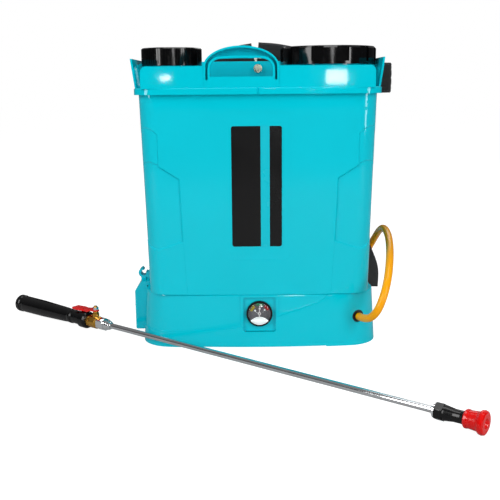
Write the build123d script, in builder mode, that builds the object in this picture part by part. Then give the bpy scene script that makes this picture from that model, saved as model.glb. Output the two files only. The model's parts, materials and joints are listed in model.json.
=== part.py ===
"""Battery knapsack sprayer: 12 litre tank on a battery base, with its lance and hose.

Millimetres. Origin: centre of the underside of the base. +X right, +Y back, +Z up.
"""
import os
from math import cos, pi, radians, sin

from build123d import *

os.makedirs("parts", exist_ok=True)

# ---------------------------------------------------------------- driving dimensions
wall = 3.0                # moulded wall of tank, base and cover
seam_z = 77.0             # top of the base, bottom of the tank
flange_z = 353.0          # underside of the cover's flange
deck_z = 362.0            # top of the flange, the deck that the necks stand on
panel_z = 390.0           # top of the cover's front panel
rim_z = 401.0             # top of the cover's side and back walls
handle_z = 416.0          # top of the carrying handle
cap_z = 417.0             # top of both caps

base_half = 169.0         # half width of the base at the floor
base_front = -92.0
base_back = 95.0
base_corner = 45.0
front_bow = 13.0          # how far the front edge falls back at the corners
tank_half = 155.5         # half width of the tank at the seam
tank_half_top = 162.5
tank_front = -89.0
tank_back = 91.0
tank_corner = 24.0
tank_bow = 5.0
flange_half = 168.5
flange_front = -97.0
flange_back = 97.0
relief = 2.4              # how far the side pockets lie behind the front panel

fill_x = 101.0            # centre of the fill neck
fill_cap_r = 68.0
fill_neck_r = 58.0
small_x = -122.0          # centre of the small neck
small_cap_r = 43.0
small_neck_r = 35.0
cap_skirt_z = 392.5
neck_top_z = 404.0
gasket_t = 2.0

gauge_z = 49.5            # centre of the battery gauge
gauge_r = 18.5
handle_x = -22.0          # centre of the handle
handle_half = 50.0
grommet_turn = 20.0       # degrees from straight ahead to the hose outlet
grommet_z = 42.0
grommet_r = 11.0
hose_r = 5.5
pod_x = -184.0            # outer face of the switch pod

lance_axis_z = 13.7       # the lance lies on its two largest rings
lance_start = Vector(-394, 113, lance_axis_z)
lance_turn = 38.5         # degrees from +X towards the front
lance_tube_r = 4.0
stem_s = 187.0            # distance of the valve stem along the lance

label_x = -2.5            # centre of the label on the tank's front
label_z = 228.5
label_w = 68.5
label_h = 165.0
outlet_x = 117.0          # where liquid leaves the tank, above the pump
outlet_y = 25.0
outlet_r = 9.0
anchor_x = 2.0            # bolt that holds the shoulder straps
anchor_z = 390.0
anchor_hole_r = 3.2

fit = 0.05                # radial clearance of a running fit
gap = 0.3                 # clearance between separate moving pieces

# ---------------------------------------------------------------- frames of reference
lance_dir = Vector(cos(radians(lance_turn)), -sin(radians(lance_turn)), 0)
lance_side = Plane(lance_start, x_dir=lance_dir, z_dir=lance_dir.cross(Vector(0, 0, 1)))
lance_axis = Axis(lance_start, lance_dir)
grommet_dir = Vector(sin(radians(grommet_turn)), -cos(radians(grommet_turn)), 0)
corner_centre = Vector(base_half - base_corner, base_front + front_bow + base_corner, 0)
grommet_face = corner_centre + grommet_dir * (base_corner - 1.5) + Vector(0, 0, grommet_z)
grommet_plane = Plane(grommet_face, x_dir=(0, 0, 1), z_dir=grommet_dir)


def lance_plane(s):
    """A plane square to the lance, s millimetres from the rear end of its grip."""
    return Plane(lance_start + lance_dir * s, x_dir=(0, 0, 1), z_dir=lance_dir)


def save(piece, name):
    """Label a finished piece and write it as one STEP file."""
    piece.part.label = name
    export_step(piece.part, "parts/" + name + ".step")


def plan_at(z, half, front, back, bow, corner):
    """The outline of a tank or base seen from above, at height z, with a bowed front edge."""
    with BuildSketch(Plane.XY.offset(z)) as plan:
        with BuildLine():
            edge = ThreePointArc((-half, front + bow), (0, front), (half, front + bow))
            Polyline(edge @ 1, (half, back), (-half, back), edge @ 0)
        make_face()
        fillet(plan.vertices(), corner)
    return plan.sketch


def outline_on(plane, points):
    """A closed outline of straight sides on a plane."""
    with BuildSketch(plane) as outline:
        with BuildLine():
            Polyline(points, close=True)
        make_face()
    return outline.sketch


def turn_on_lance(points, mode=Mode.ADD):
    """Turn a profile of (distance along the lance, radius) about the lance's axis."""
    revolve(outline_on(lance_side, points), axis=lance_axis, mode=mode)


# ---------------------------------------------------------------- tank body
front_view = Plane((0, -110, 0), x_dir=(1, 0, 0), z_dir=(0, -1, 0))


def tank_loft(inset, skin=0.0, floor=0.0, mode=Mode.ADD):
    """The tank's outer form, its front moved back by inset and all sides in by skin."""
    front = tank_front + inset + skin
    low = plan_at(seam_z + floor, tank_half - skin, front, tank_back - skin, tank_bow, tank_corner - skin)
    high = plan_at(flange_z, tank_half_top - skin, front, tank_back - skin, tank_bow, tank_corner - skin)
    loft([low, high], mode=mode)


def front_panel(points, inset):
    """The part of the tank's skin that lies behind an outline on its front."""
    with BuildPart() as panel:
        tank_loft(inset)
        extrude(outline_on(front_view, points), amount=-45, taper=-38, mode=Mode.INTERSECT)
    return panel.part


low = seam_z - 4
chest_left = [(-82, low), (-86, 142), (-90, 250), (-117, 268), (-117, 308), (-149, 340)]
chest = chest_left + [(-150, 380), (150, 380)] + [(-x, z) for x, z in reversed(chest_left)]
knee = [(-60, low), (-86, 140), (-136, 120), (-200, 112), (-200, low)]
shoulder = [(-80, 246), (-150, 292), (-200, 292), (-200, 345), (-100, 345)]

with BuildPart() as tank_body:
    tank_loft(relief)
    add(front_panel(chest, 0))
    for side in (1, -1):
        add(front_panel([(side * x, z) for x, z in knee], 0.4))
        add(front_panel([(side * x, z) for x, z in shoulder], relief / 2))
    tank_loft(relief, wall, wall + 1, Mode.SUBTRACT)
    with Locations((outlet_x, outlet_y, seam_z - 1)):
        Cylinder(outlet_r, 20, mode=Mode.SUBTRACT)
    with BuildSketch(Plane((label_x, tank_front - 1, label_z), x_dir=(1, 0, 0), z_dir=(0, -1, 0))):
        RectangleRounded(label_w + 23, label_h + 38, 9)
    extrude(amount=-1.6, mode=Mode.SUBTRACT)
save(tank_body, "tank_body")

with BuildPart() as front_label:
    with BuildSketch(Plane((label_x, tank_front + 0.6, label_z), x_dir=(1, 0, 0), z_dir=(0, -1, 0))):
        RectangleRounded(label_w, label_h, 3)
    extrude(amount=0.35)
save(front_label, "front_label")

# ---------------------------------------------------------------- top cover
def arch_at(y, half, top, crown, corner, bottom):
    """A flat-topped arch about the handle's middle, seen from the front, on the plane at y."""
    with BuildSketch(Plane((handle_x, y, 0), x_dir=(1, 0, 0), z_dir=(0, -1, 0))) as outline:
        with BuildLine():
            crest = ThreePointArc((-half, top - crown), (0, top), (half, top - crown))
            Polyline(crest @ 1, (half, bottom), (-half, bottom), crest @ 0)
        make_face()
        fillet(outline.vertices().group_by(Axis.Y)[-1], corner)
    return outline.sketch


def bow_at(y, inset, bottom):
    """The handle's own outline: half an ellipse on short legs, moved in by inset."""
    half = handle_half - inset
    rise = handle_rise - inset
    spring = handle_z - handle_rise
    with BuildSketch(Plane((handle_x, y, 0), x_dir=(1, 0, 0), z_dir=(0, -1, 0))) as outline:
        with Locations((0, spring)):
            Ellipse(half, rise)
        with Locations((0, (spring + bottom) / 2)):
            Rectangle(2 * half, spring - bottom)
        with Locations((0, bottom - 50)):
            Rectangle(4 * half, 100, mode=Mode.SUBTRACT)
    return outline.sketch


handle_rise = 27.0
lip_drop = 13.0           # how far the finger gap's lip lies below the handle's top
lip_t = 2.7
rim_half_low = 167.0      # half width of the rim at the deck
rim_half = 172.5          # and at its top
rim_corner = 29.0
wing_t = 2.6
wing_front = -66.0
panel_half = 156.0
panel_front = -94.0
panel_t = 4.0
notch_z = 376.0           # lower edge of the finger gap under the handle
handle_back = -72.0
handle_deep = handle_back - panel_front
cover_t = 4.0             # roof of the cover

with BuildPart() as tank_top:
    rim_plan = plan_at(flange_z, flange_half, flange_front, flange_back, tank_bow, 30)
    extrude(rim_plan, amount=deck_z - flange_z)
    fillet(tank_top.edges().group_by(Axis.Z)[-1], 2)
    skirt = plan_at(flange_z, tank_half_top - 3.5, tank_front + 6, tank_back - 3.5, tank_bow, 20)
    extrude(skirt, amount=deck_z - flange_z - cover_t, mode=Mode.SUBTRACT)
    for inner in (0, 1):
        skin = inner * wing_t
        low_rim = plan_at(deck_z - 1 + inner, rim_half_low - skin, -96 + skin, 95.5 - skin, tank_bow,
                          rim_corner - skin)
        high_rim = plan_at(rim_z, rim_half - skin, -104 + skin, 101 - skin, tank_bow, rim_corner - skin)
        loft([low_rim, high_rim], mode=Mode.SUBTRACT if inner else Mode.ADD)
    with Locations((0, wing_front - 50, rim_z)):
        Box(400, 100, 2 * (rim_z - deck_z), mode=Mode.SUBTRACT)
    with BuildSketch(Plane((0, panel_front, 0), x_dir=(1, 0, 0), z_dir=(0, -1, 0))):
        with Locations((0, (deck_z - 1 + panel_z) / 2)):
            Rectangle(2 * panel_half, panel_z - deck_z + 1)
        fillet(vertices().group_by(Axis.Y)[-1], 8)
    extrude(amount=-panel_t)
    for side in (1, -1):
        with Locations((side * (panel_half - 1.5), panel_front + 16, (deck_z + panel_z) / 2 - 5)):
            Box(3, 28, panel_z - deck_z - 8)
    extrude(bow_at(panel_front - 1, 0, deck_z - 1), amount=handle_deep, dir=(0, 1, 0))
    channel = bow_at(panel_front - 2, 2.6, notch_z - 4)
    extrude(channel, amount=15, dir=(0, 1, 0), mode=Mode.SUBTRACT)
    lip = arch_at(panel_front - 1, 44.5, handle_z - lip_drop, 1.5, 16.5, notch_z - 4)
    extrude(lip, amount=handle_deep, dir=(0, 1, 0))
    window = arch_at(-120, 44.5 - lip_t, handle_z - lip_drop - lip_t, 1.5, 14, notch_z)
    extrude(window, amount=70, dir=(0, 1, 0), mode=Mode.SUBTRACT)
    for x, r in ((fill_x, fill_neck_r), (small_x, small_neck_r)):
        with Locations((x, 0, deck_z - cover_t)):
            Cylinder(r, neck_top_z - deck_z + cover_t, align=(Align.CENTER, Align.CENTER, Align.MIN))
            Cylinder(r + 6, 6, align=(Align.CENTER, Align.CENTER, Align.MIN))
        with Locations((x, 0, deck_z)):
            Cylinder(r - 3, 100, mode=Mode.SUBTRACT)
    with BuildPart(mode=Mode.SUBTRACT):
        with Locations((fill_x, 0, cap_skirt_z - 1)):
            Cylinder(fill_cap_r + 0.5, 30, align=(Align.CENTER, Align.CENTER, Align.MIN))
            Cylinder(fill_neck_r + 0.5, 30, align=(Align.CENTER, Align.CENTER, Align.MIN),
                     mode=Mode.SUBTRACT)
    with BuildSketch(Plane.XY.offset(flange_z)):
        with BuildLine():
            Polyline((-2.5, flange_front - 1), (0, flange_front + 2), (2.5, flange_front - 1), close=True)
        make_face()
    extrude(amount=deck_z - flange_z, mode=Mode.SUBTRACT)
    with Locations((anchor_x, flange_back + 2, anchor_z)):
        Cylinder(anchor_hole_r, 30, rotation=(90, 0, 0), mode=Mode.SUBTRACT)
save(tank_top, "tank_top")

# ---------------------------------------------------------------- necks: strainer, gaskets and caps
brim_t = 1.5              # rim of the strainer, clamped between neck and gasket
gasket_z = neck_top_z + brim_t
basket_floor_z = 312.0

with BuildPart() as strainer_basket:
    with Locations((fill_x, 0, neck_top_z)):
        Cylinder(fill_neck_r - 0.5, brim_t, align=(Align.CENTER, Align.CENTER, Align.MIN))
    with Locations((fill_x, 0, basket_floor_z)):
        deep = neck_top_z - basket_floor_z + 0.5
        Cylinder(fill_neck_r - 5, deep, align=(Align.CENTER, Align.CENTER, Align.MIN))
    with Locations((fill_x, 0, basket_floor_z + 2)):
        Cylinder(fill_neck_r - 7, 200, align=(Align.CENTER, Align.CENTER, Align.MIN), mode=Mode.SUBTRACT)
    for height in (330, 360):
        with Locations((fill_x, 0, height)):
            with PolarLocations(fill_neck_r - 6, 16):
                Box(12, 6, 20, mode=Mode.SUBTRACT)
    with Locations((fill_x, 0, basket_floor_z)):
        with GridLocations(14, 14, 5, 5):
            Box(8, 8, 8, mode=Mode.SUBTRACT)
save(strainer_basket, "strainer_basket")


def build_gasket(x, bottom, neck_r):
    """A flat sealing ring under a cap."""
    with BuildPart() as ring:
        with Locations((x, 0, bottom)):
            Cylinder(neck_r - 0.3, gasket_t, align=(Align.CENTER, Align.CENTER, Align.MIN))
            Cylinder(neck_r - 6, 40, mode=Mode.SUBTRACT)
    return ring


fill_gasket = build_gasket(fill_x, gasket_z, fill_neck_r)
save(fill_gasket, "fill_gasket")
small_gasket = build_gasket(small_x, neck_top_z, small_neck_r)
save(small_gasket, "small_gasket")


def cap_blank(x, radius, neck_r, roof_z, edge):
    """A screw cap without its grip: a deep cup over a neck, with a rolled rim."""
    with Locations((x, 0, cap_skirt_z)):
        Cylinder(radius, cap_z - cap_skirt_z, align=(Align.CENTER, Align.CENTER, Align.MIN))
    chamfer(edges().group_by(Axis.Z)[-1], edge)
    with Locations((x, 0, cap_skirt_z)):
        bore = roof_z - cap_skirt_z
        Cylinder(neck_r + 1, bore, align=(Align.CENTER, Align.CENTER, Align.MIN), mode=Mode.SUBTRACT)


lobe_count = 12
with BuildPart() as fill_cap:
    cap_blank(fill_x, fill_cap_r, fill_neck_r, gasket_z + gasket_t, 3)
    with Locations((fill_x, 0, cap_skirt_z + 14)):
        with PolarLocations(fill_cap_r + 3.4, lobe_count, start_angle=-77.5 - 180):
            Box(11.6, 17, 20.5, mode=Mode.SUBTRACT)
    for radius in (30, 44):
        with Locations((fill_x, 0, cap_z)):
            Torus(radius, 1.2, mode=Mode.SUBTRACT)
save(fill_cap, "fill_cap")

rib_count = 72
with BuildPart() as small_cap:
    cap_blank(small_x, small_cap_r, small_neck_r, neck_top_z + gasket_t, 1.6)
    with Locations((small_x, 0, cap_skirt_z + 2.5)):
        with PolarLocations(small_cap_r, rib_count):
            Box(1.8, 1.5, 20.5, align=(Align.CENTER, Align.CENTER, Align.MIN), mode=Mode.SUBTRACT)
    with Locations((small_x, 0, cap_z)):
        Cylinder(small_cap_r - 7, 1.6, mode=Mode.SUBTRACT)
save(small_cap, "small_cap")

# ---------------------------------------------------------------- base
base_wall = 3.0
base_taper = 4.5          # how far each side leans in up to the seam
plate_t = 3.0
rest_gap = 1.2            # the rim and the plate clear the floor between the feet


def base_loft(inset, mode=Mode.ADD, bottom=0.0, top=seam_z):
    """The base's outer form, moved in by inset on all sides."""
    back = base_back - inset
    corner = base_corner - inset
    half_top = base_half - base_taper * top / seam_z - inset
    low = plan_at(bottom, base_half - inset, base_front + inset, back, front_bow, corner)
    high = plan_at(top, half_top, base_front + 2 + inset, back, front_bow, corner)
    loft([low, high], mode=mode)


def swoosh(drop):
    """The raised lower field of the base's front, under a long S-shaped crease."""
    with BuildSketch(front_view) as field:
        with BuildLine():
            crease = Spline((-190, 27), (-150, 23), (-97, 24), (-23, 31), (40, 50), (72, 61), (92, 71),
                            (100, 90))
            Polyline(crease @ 1, (220, 90), (220, -20), (-190, -20), crease @ 0)
        make_face()
    with BuildPart() as raised:
        base_loft(drop)
        extrude(field.sketch, amount=-80, mode=Mode.INTERSECT)
    return raised.part


screw_spots = [(-147, -45), (147, -45), (-100, 84), (100, 84), (-60, -70), (60, -70)]
pocket_w = 46.0
pocket_h = 52.0
pocket_depth = 3.0
pocket_wall = 4.0

with BuildPart() as base_shell:
    base_loft(1.0)
    add(swoosh(0.0))
    fillet(base_shell.edges().group_by(Axis.Z)[-1], 2.5)
    base_loft(1.0 + base_wall, mode=Mode.SUBTRACT, bottom=0, top=seam_z - 4)
    with Locations((0, base_front + 9, gauge_z)):
        Box(pocket_w + 2 * pocket_wall, 14, pocket_h)
    with BuildSketch(Plane((0, base_front - 2, gauge_z - 1.5), x_dir=(1, 0, 0), z_dir=(0, -1, 0))):
        RectangleRounded(pocket_w, pocket_h - 2, 4)
    extrude(amount=-(pocket_depth + 4), mode=Mode.SUBTRACT)
    with Locations((0, base_front + 5, gauge_z)):
        Cylinder(gauge_r - 1.5, 60, rotation=(90, 0, 0), mode=Mode.SUBTRACT)
    for x, y in screw_spots:
        with Locations((x, y, rest_gap + plate_t)):
            Cylinder(5, seam_z - rest_gap - plate_t - 2, align=(Align.CENTER, Align.CENTER, Align.MIN))
    for x, y, w, d in ((0, base_front, 190, 60), (0, base_back, 190, 40), (0, 0, 400, 70)):
        with Locations((x, y, 0)):
            Box(w, d, 2 * rest_gap, mode=Mode.SUBTRACT)
    for x, y in screw_spots:
        with Locations((x, y, 0)):
            Cylinder(1.7, 44, mode=Mode.SUBTRACT)
    with Locations((outlet_x, outlet_y, seam_z)):
        Cylinder(outlet_r, 40, mode=Mode.SUBTRACT)
    with Locations(grommet_plane):
        Cylinder(grommet_r - 2, 24, mode=Mode.SUBTRACT)
    with Locations((-base_half + 4, 10, 40)):
        Box(20, 12, 10, mode=Mode.SUBTRACT)
save(base_shell, "base_shell")

inner_half = base_half - base_wall - 2.5
inner_front = base_front + base_wall + 2.5
with BuildPart() as base_plate:
    extrude(plan_at(rest_gap, inner_half, inner_front, base_back - 5.5, front_bow, base_corner - 5),
            amount=plate_t)
    for x, y in screw_spots:
        with Locations((x, y, rest_gap)):
            Cylinder(1.8, 20, mode=Mode.SUBTRACT)
    with Locations((0, 0, 0)):
        Cylinder(22, rest_gap + 1, align=(Align.CENTER, Align.CENTER, Align.MIN))
    for x in (-60, 60):
        for y in (-30, -10, 10, 30):
            with Locations((x, y, 0)):
                Box(40, 4, 20, mode=Mode.SUBTRACT)
save(base_plate, "base_plate")

with BuildPart() as base_screws:
    for x, y in screw_spots:
        with Locations((x, y, rest_gap)):
            Cylinder(1.65, 17, align=(Align.CENTER, Align.CENTER, Align.MIN))
        with Locations((x, y, 0.2)):
            Cylinder(3.5, rest_gap - 0.2, align=(Align.CENTER, Align.CENTER, Align.MIN))
save(base_screws, "base_screws")

with BuildPart() as base_feet:
    for x in (-128, 128):
        for y in (-30, 66):
            with Locations((x, y, 0)):
                Cylinder(11, rest_gap, align=(Align.CENTER, Align.CENTER, Align.MIN))
save(base_feet, "base_feet")

# ---------------------------------------------------------------- battery gauge
pocket_floor_y = base_front - 2 + pocket_depth + 4
bezel_y = base_front + 0.5
dial_y = base_front + 4.0


def gauge_disc(radius, y_near, y_far, mode=Mode.ADD):
    """A disc of the gauge between two distances from the front."""
    with Locations((0, (y_near + y_far) / 2, gauge_z)):
        Cylinder(radius, y_far - y_near, rotation=(90, 0, 0), mode=mode)


with BuildPart() as gauge_case:
    gauge_disc(gauge_r, bezel_y, pocket_floor_y)
    chamfer(gauge_case.edges().group_by(Axis.Y)[0], 1)
    gauge_disc(gauge_r - 1.8, pocket_floor_y - 0.1, base_front + 26)
    gauge_disc(gauge_r - 2.4, bezel_y - 1, dial_y + 1.2, Mode.SUBTRACT)
    gauge_disc(gauge_r - 4, dial_y + 1, base_front + 24, Mode.SUBTRACT)
save(gauge_case, "gauge_case")

with BuildPart() as gauge_dial:
    gauge_disc(gauge_r - 2.5, dial_y, dial_y + 1.2)
    gauge_disc(0.8, dial_y - 2.0, dial_y + 0.1)
save(gauge_dial, "gauge_dial")

with BuildPart() as gauge_lens:
    gauge_disc(gauge_r - 2.5, bezel_y + 0.3, bezel_y + 1.3)
save(gauge_lens, "gauge_lens")

needle_y = dial_y - 1.0
with BuildPart() as gauge_needle:
    gauge_disc(2.2, needle_y - 0.8, needle_y)
    with BuildSketch(Plane((0, needle_y, gauge_z), x_dir=(1, 0, 0), z_dir=(0, -1, 0))):
        with BuildLine():
            Polyline((-0.9, -5), (0.9, -5), (0.35, 12), (-0.35, 12), close=True)
        make_face()
    extrude(amount=0.8)
    gauge_disc(0.8 + fit, needle_y - 5, needle_y + 5, Mode.SUBTRACT)
save(gauge_needle, "gauge_needle")
# ---------------------------------------------------------------- switch pod on the left of the base
pod_front = -24.0
pod_back = 46.0
pod_low = 9.0
pod_high = 67.0
pod_top = 82.0
pod_top_x = -174.0
pod_wall = 2.5
pod_mid = (pod_front + pod_back) / 2
switch_y = 28.0
switch_z = 48.0
jack_y = -2.0
jack_z = 30.0
switch_w = 13.0           # along Y
switch_h = 20.0           # along Z

pod_outline = [(pod_x, pod_low), (pod_x, pod_high), (pod_top_x, pod_top), (-158.5, pod_top),
               (-158.5, seam_z + 0.2), (-165.2, seam_z - 1), (-169, pod_low)]
with BuildPart() as switch_pod:
    pod_side = Plane((0, pod_back, 0), x_dir=(1, 0, 0), z_dir=(0, -1, 0))
    extrude(outline_on(pod_side, pod_outline), amount=pod_back - pod_front)
    outer_face = switch_pod.faces().sort_by(Axis.X)[0]
    fillet(outer_face.edges(), 2.5)
    with Locations((pod_x + 9.5, pod_mid, (pod_low + pod_high) / 2)):
        Box(13.5, pod_back - pod_front - 2 * pod_wall, pod_high - pod_low - 2 * pod_wall,
            mode=Mode.SUBTRACT)
    with Locations((pod_x, switch_y, switch_z)):
        Box(20, switch_w + 2, switch_h + 2, mode=Mode.SUBTRACT)
    with Locations((pod_x, jack_y, jack_z)):
        Cylinder(5.5, 20, rotation=(0, 90, 0), mode=Mode.SUBTRACT)
        with Locations((-8.2, 0, 3)):
            Box(20, 20, 29, mode=Mode.SUBTRACT)
save(switch_pod, "switch_pod")

with BuildPart() as switch_frame:
    with Locations((pod_x + 3.4, switch_y, switch_z)):
        Box(10, switch_w + 1.9, switch_h + 1.9)
    with Locations((pod_x - 0.9, switch_y, switch_z)):
        Box(1.8, switch_w + 6, switch_h + 6)
    fillet(switch_frame.edges().filter_by(Axis.X).group_by(Axis.X)[0], 2)
    with Locations((pod_x - 2, switch_y, switch_z)):
        Box(16, switch_w, switch_h, mode=Mode.SUBTRACT)
    with Locations((pod_x + 1.5, switch_y, switch_z)):
        Cylinder(1.5, switch_w + 1, rotation=(90, 0, 0))
save(switch_frame, "switch_frame")

rocker_tilt = 7.0
with BuildPart() as power_switch:
    with BuildSketch(Plane((pod_x + 1.5, switch_y + switch_w / 2 - 0.4, switch_z), x_dir=(1, 0, 0),
                           z_dir=(0, -1, 0))):
        with BuildLine():
            Polyline((2.4, -6), (-2.2, -switch_h / 2 + 1.2), (-5.4, -switch_h / 2 + 1.2), (-3.6, 0),
                     close=False)
            Polyline((-3.6, 0), (-2.4, switch_h / 2 - 1.0), (0.6, switch_h / 2 - 1.0), (2.4, 6), (2.4, -6))
        make_face()
    extrude(amount=switch_w - 0.8)
    with Locations((pod_x + 1.5, switch_y, switch_z)):
        Cylinder(1.5 + fit, 40, rotation=(90, 0, 0), mode=Mode.SUBTRACT)
save(power_switch, "power_switch")

with BuildPart() as charge_socket:
    with Locations((pod_x + 8.5, jack_y, jack_z)):
        Cylinder(5.4, 13, rotation=(0, 90, 0))
        with Locations((-3, 0, 0)):
            Cylinder(2.9, 13, rotation=(0, 90, 0), mode=Mode.SUBTRACT)
    with Locations((pod_x + 8.5, jack_y, jack_z)):
        Cylinder(0.9, 11, rotation=(0, 90, 0))
save(charge_socket, "charge_socket")

flap_z = jack_z + 12.5
with BuildPart() as flap_hinge:
    with Locations((pod_x - 0.4, jack_y, flap_z)):
        Cylinder(0.9, 18, rotation=(90, 0, 0))
    for y in (-8.1, 8.1):
        with Locations((pod_x + 0.6, jack_y + y, flap_z)):
            Box(3.0, 1.8, 3.4)
save(flap_hinge, "flap_hinge")

with BuildPart() as charge_flap:
    with Locations((pod_x - 0.4, jack_y, flap_z)):
        Cylinder(1.8, 14, rotation=(90, 0, 0))
    with Locations((pod_x - 0.6, jack_y, jack_z + 0.7)):
        Box(2.0, 14, 22)
    fillet(charge_flap.edges().filter_by(Axis.X).group_by(Axis.Z)[0], 4)
    with Locations((pod_x + 1.8, jack_y, jack_z)):
        Cylinder(2.5, 4, rotation=(0, 90, 0))
        with Locations((1.5, 0, 0)):
            Cylinder(1.2, 4, rotation=(0, 90, 0), mode=Mode.SUBTRACT)
    with Locations((pod_x - 0.4, jack_y, flap_z)):
        Cylinder(0.9 + fit, 40, rotation=(90, 0, 0), mode=Mode.SUBTRACT)
save(charge_flap, "charge_flap")

# ---------------------------------------------------------------- lance clip on top of the pod
clip_x = -171.5
clip_z = 92.5
clip_front = -14.0
clip_length = 16.0
with BuildPart() as lance_clip:
    with BuildSketch(Plane((clip_x, clip_front + clip_length, clip_z), x_dir=(1, 0, 0), z_dir=(0, -1, 0))):
        Circle(lance_tube_r + 3.2)
        Circle(lance_tube_r + 0.1, mode=Mode.SUBTRACT)
        with Locations((5, 6.5)):
            Rectangle(9, 9, rotation=-40, mode=Mode.SUBTRACT)
        with Locations((0, -8)):
            Rectangle(7, 5.4)
    extrude(amount=clip_length)
    with Locations((clip_x + 8.4, clip_front + clip_length / 2, clip_z - 3.5)):
        Cylinder(5, clip_length, rotation=(90, 0, 0))
    with Locations((clip_x + 8.4, clip_front + clip_length / 2, clip_z - 8.5)):
        Box(9, clip_length - 3, 5)
save(lance_clip, "lance_clip")

# ---------------------------------------------------------------- battery and pump inside the base
inside_z = 5.2            # a little above the base plate
battery_size = (151.0, 94.0, 64.0)
battery_x = -70.0
battery_y = 18.0
pump_x = 114.0
pump_y = outlet_y
pump_z = 37.0
motor_r = 19.0
motor_x0 = 12.0
motor_x1 = 88.0
cam_r = 8.0

with BuildPart() as battery:
    with Locations((battery_x, battery_y, inside_z)):
        Box(*battery_size, align=(Align.CENTER, Align.CENTER, Align.MIN))
    fillet(battery.edges().filter_by(Axis.Z), 3)
    with Locations((battery_x + battery_size[0] / 2 - 14, battery_y, inside_z + battery_size[2])):
        Box(26, 80, 5, mode=Mode.SUBTRACT)
    for y in (-26, 26):
        with Locations((battery_x + battery_size[0] / 2 - 14, battery_y + y,
                        inside_z + battery_size[2] - 2.5)):
            Box(6.3, 0.8, 6, align=(Align.CENTER, Align.CENTER, Align.MIN))
save(battery, "battery")

with BuildPart() as pump_motor:
    with Locations(Location((motor_x0, pump_y, pump_z), (0, 90, 0))):
        Cylinder(motor_r, motor_x1 - motor_x0, align=(Align.CENTER, Align.CENTER, Align.MIN))
    with Locations(Location((motor_x0 + 4, pump_y, pump_z), (0, 90, 0))):
        inner = motor_x1 - motor_x0 - 8
        Cylinder(motor_r - 1.6, inner, align=(Align.CENTER, Align.CENTER, Align.MIN), mode=Mode.SUBTRACT)
    with Locations((motor_x0, pump_y, pump_z)):
        Cylinder(2.5 + fit, 400, rotation=(0, 90, 0), mode=Mode.SUBTRACT)
save(pump_motor, "pump_motor")

with BuildPart() as pump_rotor:
    with Locations(Location((motor_x0 - 4, pump_y, pump_z), (0, 90, 0))):
        Cylinder(2.5, motor_x1 - motor_x0 + 22, align=(Align.CENTER, Align.CENTER, Align.MIN))
    with Locations(((motor_x0 + motor_x1) / 2, pump_y, pump_z)):
        Cylinder(motor_r - 4, 48, rotation=(0, 90, 0))
    with Locations((motor_x1 + 10, pump_y, pump_z + 2)):
        Cylinder(cam_r, 10, rotation=(0, 90, 0))
save(pump_rotor, "pump_rotor")

with BuildPart() as pump_head:
    with Locations((pump_x, pump_y, pump_z - 1)):
        Box(52, 54, 50)
    fillet(pump_head.edges().filter_by(Axis.X), 6)
    with Locations((motor_x1 + 10, pump_y, pump_z)):
        Cylinder(cam_r + 4, 22, rotation=(0, 90, 0), mode=Mode.SUBTRACT)
save(pump_head, "pump_head")

with BuildPart() as pressure_switch:
    with Locations((pump_x + 26 + 6, pump_y + 8, pump_z)):
        Cylinder(8, 12, rotation=(0, 90, 0))
    with Locations((pump_x + 26 + 13, pump_y + 8, pump_z)):
        Box(6, 0.8, 9)
save(pressure_switch, "pressure_switch")

with BuildPart() as suction_pipe:
    with Locations((outlet_x, outlet_y, pump_z + 24)):
        Cylinder(7, seam_z + wall + 6 - pump_z - 24, align=(Align.CENTER, Align.CENTER, Align.MIN))
        Cylinder(4.5, 80, mode=Mode.SUBTRACT)
    with Locations((outlet_x, outlet_y, seam_z + wall + 1)):
        Cylinder(12, 3, align=(Align.CENTER, Align.CENTER, Align.MIN))
        Cylinder(4.5, 80, mode=Mode.SUBTRACT)
save(suction_pipe, "suction_pipe")

with BuildPart() as outlet_filter:
    with Locations((outlet_x, outlet_y, seam_z + wall + 6)):
        Cylinder(8.5, 26, align=(Align.CENTER, Align.CENTER, Align.MIN))
        with Locations((0, 0, -1)):
            Cylinder(7.2, 25, align=(Align.CENTER, Align.CENTER, Align.MIN), mode=Mode.SUBTRACT)
        with Locations((0, 0, 14)):
            with PolarLocations(8, 8):
                Box(4, 3, 16, mode=Mode.SUBTRACT)
save(outlet_filter, "outlet_filter")

pipe_length = 74.0
with BuildPart() as pressure_pipe:
    with BuildSketch(Plane(grommet_face - grommet_dir * 4.2, z_dir=grommet_dir)):
        Circle(hose_r)
        Circle(hose_r - 1.5, mode=Mode.SUBTRACT)
    extrude(amount=-pipe_length)
save(pressure_pipe, "pressure_pipe")

# ---------------------------------------------------------------- hose gland on the base's front corner
with BuildPart() as hose_grommet:
    with BuildSketch(Plane(grommet_face, x_dir=(0, 0, 1), z_dir=Vector(0, 0, 1).cross(grommet_dir) * -1)):
        with BuildLine():
            Polyline((hose_r, -4), (hose_r, 7), (hose_r + 1.6, 7), (grommet_r - 2.4, 3.4), (grommet_r, 3),
                     (grommet_r, 0.3), (grommet_r - 2.1, 0.3), (grommet_r - 2.1, -4), close=True)
        make_face()
    revolve(axis=Axis(grommet_face, grommet_dir))
save(hose_grommet, "hose_grommet")

# ---------------------------------------------------------------- lance
grip_rear_r = lance_axis_z
collar_r = 13.2
valve_r = 9.8
ball_r = 6.5
tube_s0 = 200.0
tube_s1 = 744.0
lever_z = 17.5            # underside of the lever above the lance's axis

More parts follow.
